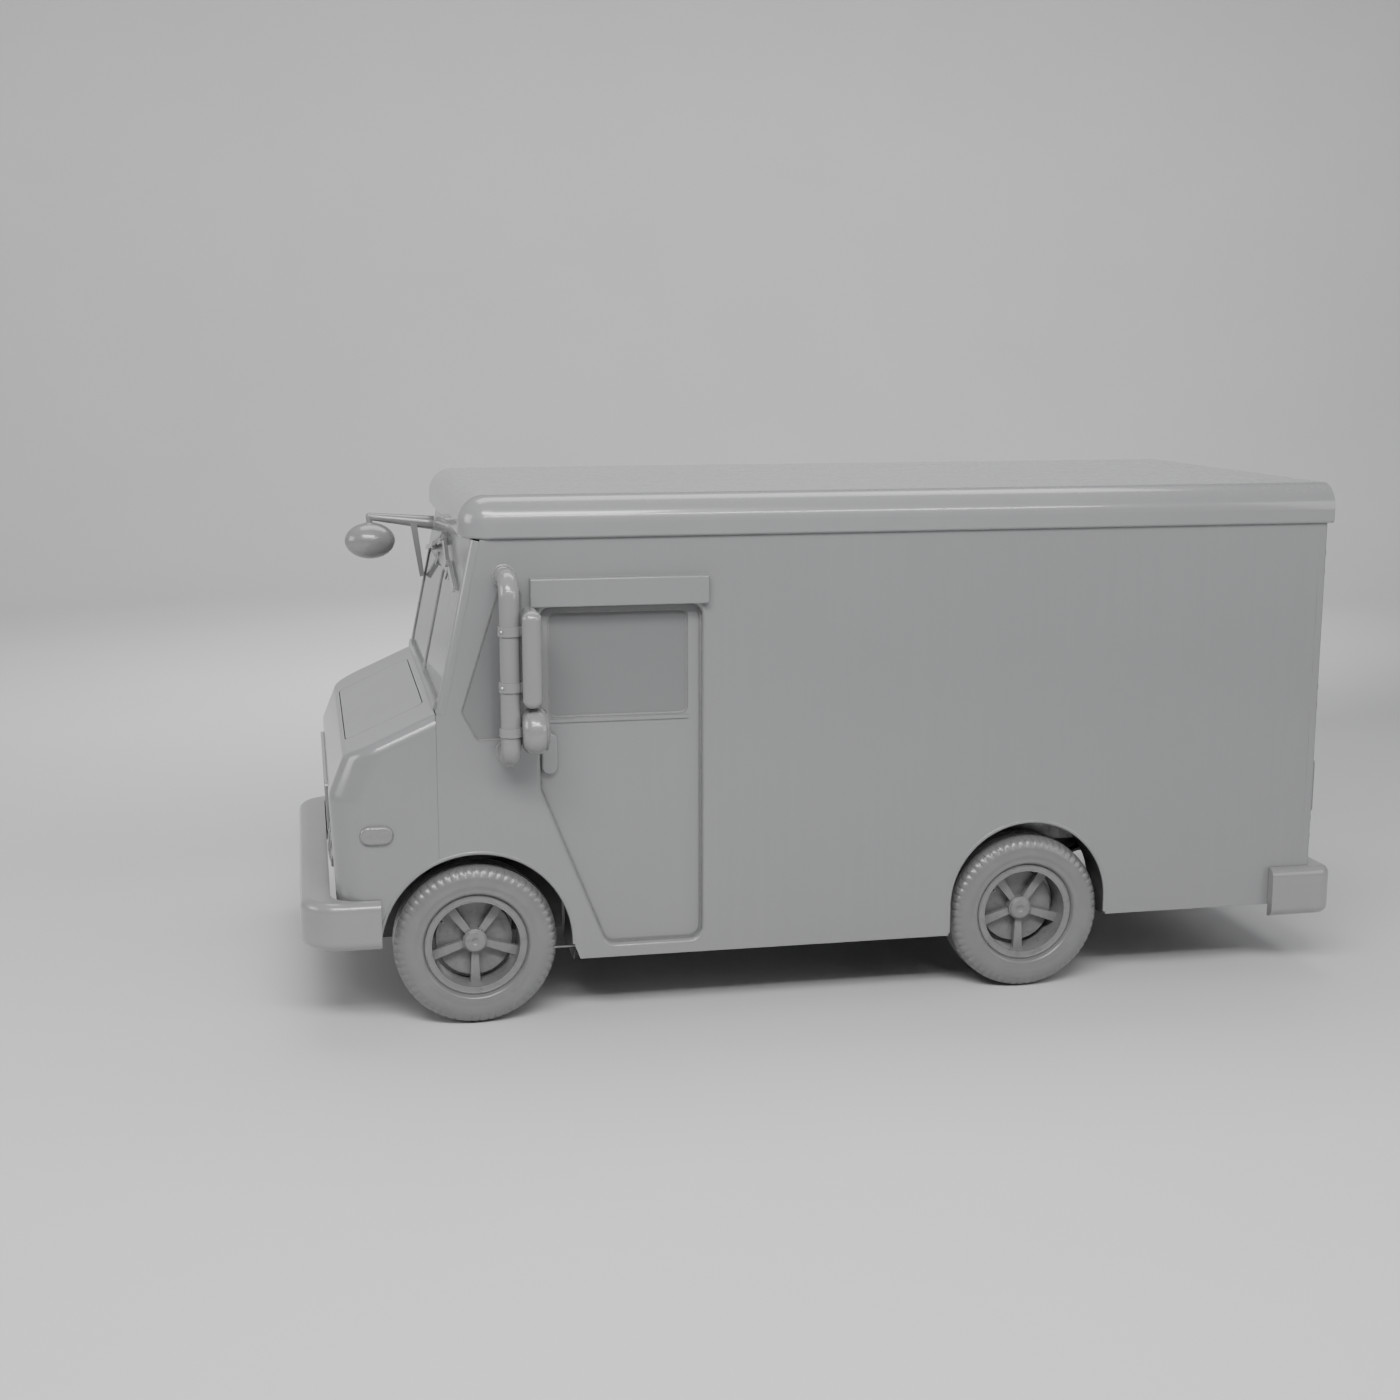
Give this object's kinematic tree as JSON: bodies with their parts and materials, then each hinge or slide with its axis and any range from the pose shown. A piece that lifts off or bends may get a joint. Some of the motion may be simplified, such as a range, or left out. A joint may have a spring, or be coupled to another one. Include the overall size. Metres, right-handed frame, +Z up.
{
  "type": "mail delivery truck",
  "caption": "Walk-in step van for mail delivery with a short nose, sliding side doors, swing rear doors and an overhanging roof cap.",
  "frame": {"origin": "on the ground under the middle of the truck's outer box", "axes": "+X forward, +Y to the truck's left, +Z up"},
  "size_m": [4.956, 2.708, 2.4002],
  "materials": {
    "body_paint": "satin",
    "roof_shell": "gloss",
    "bumper_moulding": "satin",
    "mirror_housing": "satin",
    "window_glass": "gloss",
    "lamp_glass": "gloss",
    "lamp_lens": "gloss",
    "wiper_black": "matte",
    "tyre_rubber": "matte",
    "wheel_steel": "satin",
    "bright_steel": "satin",
    "chassis_steel": "satin",
    "chassis_iron": "matte",
    "spring_steel": "satin",
    "engine_iron": "matte",
    "floor_aluminium": "satin",
    "cab_plastic": "matte",
    "pedal_rubber": "matte",
    "seat_vinyl": "satin"
  },
  "bodies": {
    "chassis": {"ladder_frame": "chassis_steel", "axles": "chassis_steel", "leaf_springs": "spring_steel", "power_unit": "engine_iron", "body_floor": "floor_aluminium", "floor_wells": "floor_aluminium", "left_side_panel": "body_paint", "right_side_panel": "body_paint", "nose_shell": "body_paint", "grille": "body_paint", "headlamps": "lamp_glass", "signal_lamps": "lamp_lens", "windscreen_frame": "body_paint", "fixed_glass": "window_glass", "roof_cap": "roof_shell", "rear_frame": "body_paint", "front_bumper": "bumper_moulding", "rear_bumper": "bumper_moulding", "mirror_arms": "mirror_housing", "dash_and_firewall": "cab_plastic", "seat_pedestal": "chassis_steel", "mail_shelves": "floor_aluminium"},
    "left_steer": {"left_knuckle": "chassis_iron"},
    "right_steer": {"right_knuckle": "chassis_iron"},
    "tie_rod": {"tie_rod": "chassis_steel"},
    "driveshaft": {"driveshaft": "chassis_steel"},
    "hood": {"hood": "body_paint"},
    "left_door": {"left_door": "body_paint", "left_door_glass": "window_glass"},
    "right_door": {"right_door": "body_paint", "right_door_glass": "window_glass"},
    "left_door_handle": {"left_door_handle": "body_paint"},
    "right_door_handle": {"right_door_handle": "body_paint"},
    "left_rear_door": {"left_rear_door": "body_paint", "left_rear_window": "window_glass"},
    "right_rear_door": {"right_rear_door": "body_paint", "right_rear_window": "window_glass"},
    "rear_door_handle": {"rear_door_handle": "bright_steel"},
    "left_wiper": {"left_wiper": "wiper_black"},
    "right_wiper": {"right_wiper": "wiper_black"},
    "left_mirror_head": {"left_mirror_head": "mirror_housing"},
    "right_mirror_head": {"right_mirror_head": "mirror_housing"},
    "left_round_mirror": {"left_round_mirror": "mirror_housing"},
    "right_round_mirror": {"right_round_mirror": "mirror_housing"},
    "crossview_mirror": {"crossview_mirror": "mirror_housing"},
    "steering_wheel": {"steering_wheel": "cab_plastic"},
    "brake_pedal": {"brake_pedal": "pedal_rubber"},
    "accelerator_pedal": {"accelerator_pedal": "pedal_rubber"},
    "gear_selector": {"gear_selector": "cab_plastic"},
    "parking_brake_lever": {"parking_brake_lever": "cab_plastic"},
    "seat": {"seat_frame": "chassis_steel", "seat_cushions": "seat_vinyl"},
    "front_left_wheel": {"front_left_tyre": "tyre_rubber", "front_left_rim": "wheel_steel"},
    "front_right_wheel": {"front_right_tyre": "tyre_rubber", "front_right_rim": "wheel_steel"},
    "rear_left_wheel": {"rear_left_tyre": "tyre_rubber", "rear_left_rim": "wheel_steel"},
    "rear_right_wheel": {"rear_right_tyre": "tyre_rubber", "rear_right_rim": "wheel_steel"}
  },
  "joints": [
    {"name": "left_steering", "type": "hinge", "parent": "chassis", "child": "left_steer", "pos_m": [1.703, 0.7895, 0.372], "axis": [0, 0, 1], "range_deg": [-30, 30]},
    {"name": "right_steering", "type": "hinge", "parent": "chassis", "child": "right_steer", "pos_m": [1.703, -0.7895, 0.372], "axis": [0, 0, 1], "range_deg": [-30, 30]},
    {"name": "tie_rod_swing", "type": "hinge", "parent": "left_steer", "child": "tie_rod", "pos_m": [1.553, 0.7895, 0.372], "axis": [0, 0, 1], "range_deg": [-30, 30]},
    {"name": "steering_wheel_turn", "type": "hinge", "parent": "chassis", "child": "steering_wheel", "pos_m": [1.373, 0.455, 1.33], "axis": [-0.6691, 0, 0.7431], "range_deg": [-480, 480]},
    {"name": "front_left_wheel_spin", "type": "hinge", "parent": "left_steer", "child": "front_left_wheel", "pos_m": [1.703, 0.9235, 0.372], "axis": [0, 1, 0], "continuous": true},
    {"name": "front_right_wheel_spin", "type": "hinge", "parent": "right_steer", "child": "front_right_wheel", "pos_m": [1.703, -0.9235, 0.372], "axis": [0, 1, 0], "continuous": true},
    {"name": "rear_left_wheel_spin", "type": "hinge", "parent": "chassis", "child": "rear_left_wheel", "pos_m": [-0.918, 0.9235, 0.372], "axis": [0, 1, 0], "continuous": true},
    {"name": "rear_right_wheel_spin", "type": "hinge", "parent": "chassis", "child": "rear_right_wheel", "pos_m": [-0.918, -0.9235, 0.372], "axis": [0, 1, 0], "continuous": true},
    {"name": "driveshaft_spin", "type": "hinge", "parent": "chassis", "child": "driveshaft", "pos_m": [1.063, 0, 0.56], "axis": [-0.9944, 0, -0.1059], "continuous": true},
    {"name": "hood_lift", "type": "hinge", "parent": "chassis", "child": "hood", "pos_m": [1.897, 0, 1.42687], "axis": [0, -1, 0], "range_deg": [0, 55]},
    {"name": "left_door_slide", "type": "slide", "parent": "chassis", "child": "left_door", "axis": [-1, 0, 0], "range_m": [0, 0.56]},
    {"name": "left_door_handle_turn", "type": "hinge", "parent": "left_door", "child": "left_door_handle", "pos_m": [1.36, 0.991, 1.306], "axis": [0, 1, 0], "range_deg": [0, 40], "stiffness_Nm_per_rad": 2, "springref_deg": -28.65},
    {"name": "left_rear_door_swing", "type": "hinge", "parent": "chassis", "child": "left_rear_door", "pos_m": [-2.382, 0.962, 1.38], "axis": [0, 0, -1], "range_deg": [0, 175]},
    {"name": "left_mirror_turn", "type": "hinge", "parent": "chassis", "child": "left_mirror_head", "pos_m": [1.553, 1.25, 1.717], "axis": [0, 0, 1], "range_deg": [-20, 20]},
    {"name": "left_round_mirror_turn", "type": "hinge", "parent": "chassis", "child": "left_round_mirror", "pos_m": [1.553, 1.25, 1.398], "axis": [0, 0, 1], "range_deg": [-20, 20]},
    {"name": "right_door_slide", "type": "slide", "parent": "chassis", "child": "right_door", "axis": [-1, 0, 0], "range_m": [0, 0.56]},
    {"name": "right_door_handle_turn", "type": "hinge", "parent": "right_door", "child": "right_door_handle", "pos_m": [1.36, -0.991, 1.306], "axis": [0, 1, 0], "range_deg": [0, 40], "stiffness_Nm_per_rad": 2, "springref_deg": -28.65},
    {"name": "right_rear_door_swing", "type": "hinge", "parent": "chassis", "child": "right_rear_door", "pos_m": [-2.382, -0.962, 1.38], "axis": [0, 0, 1], "range_deg": [0, 175]},
    {"name": "right_mirror_turn", "type": "hinge", "parent": "chassis", "child": "right_mirror_head", "pos_m": [1.553, -1.25, 1.717], "axis": [0, 0, 1], "range_deg": [-20, 20]},
    {"name": "right_round_mirror_turn", "type": "hinge", "parent": "chassis", "child": "right_round_mirror", "pos_m": [1.553, -1.25, 1.398], "axis": [0, 0, 1], "range_deg": [-20, 20]},
    {"name": "rear_door_handle_turn", "type": "hinge", "parent": "right_rear_door", "child": "rear_door_handle", "pos_m": [-2.368, -0.13, 1.18], "axis": [1, 0, 0], "range_deg": [0, 90]},
    {"name": "crossview_mirror_tilt", "type": "hinge", "parent": "chassis", "child": "crossview_mirror", "pos_m": [2.057, -0.95, 2.021], "axis": [0, 1, 0], "range_deg": [-14, 14]},
    {"name": "left_wiper_sweep", "type": "hinge", "parent": "chassis", "child": "left_wiper", "pos_m": [1.7156, 0.062, 2.11672], "axis": [-0.9779, 0, -0.2093], "range_deg": [0, 34]},
    {"name": "right_wiper_sweep", "type": "hinge", "parent": "chassis", "child": "right_wiper", "pos_m": [1.7156, -0.062, 2.11672], "axis": [0.9779, 0, 0.2093], "range_deg": [0, 34]},
    {"name": "brake_pedal_press", "type": "hinge", "parent": "chassis", "child": "brake_pedal", "pos_m": [1.743, 0.385, 1.01], "axis": [0, -1, 0], "range_deg": [0, 14], "stiffness_Nm_per_rad": 6, "springref_deg": -34.38},
    {"name": "accelerator_press", "type": "hinge", "parent": "chassis", "child": "accelerator_pedal", "pos_m": [1.743, 0.515, 1.01], "axis": [0, -1, 0], "range_deg": [0, 14], "stiffness_Nm_per_rad": 6, "springref_deg": -34.38},
    {"name": "gear_selector_move", "type": "hinge", "parent": "chassis", "child": "gear_selector", "pos_m": [1.373, 0.455, 1.33], "axis": [-0.6691, 0, 0.7431], "range_deg": [-25, 15]},
    {"name": "parking_brake_pull", "type": "hinge", "parent": "chassis", "child": "parking_brake_lever", "pos_m": [1.523, 0.326, 0.76], "axis": [0, 1, 0], "range_deg": [0, 35]},
    {"name": "seat_slide", "type": "slide", "parent": "chassis", "child": "seat", "axis": [1, 0, 0], "range_m": [-0.1, 0.02]}
  ],
  "couplings": [
    {"joint": "right_steering", "follows": "left_steering", "ratio": 1},
    {"joint": "tie_rod_swing", "follows": "left_steering", "ratio": -1},
    {"joint": "steering_wheel_turn", "follows": "left_steering", "ratio": 16},
    {"joint": "right_wiper_sweep", "follows": "left_wiper_sweep", "ratio": 1}
  ]
}
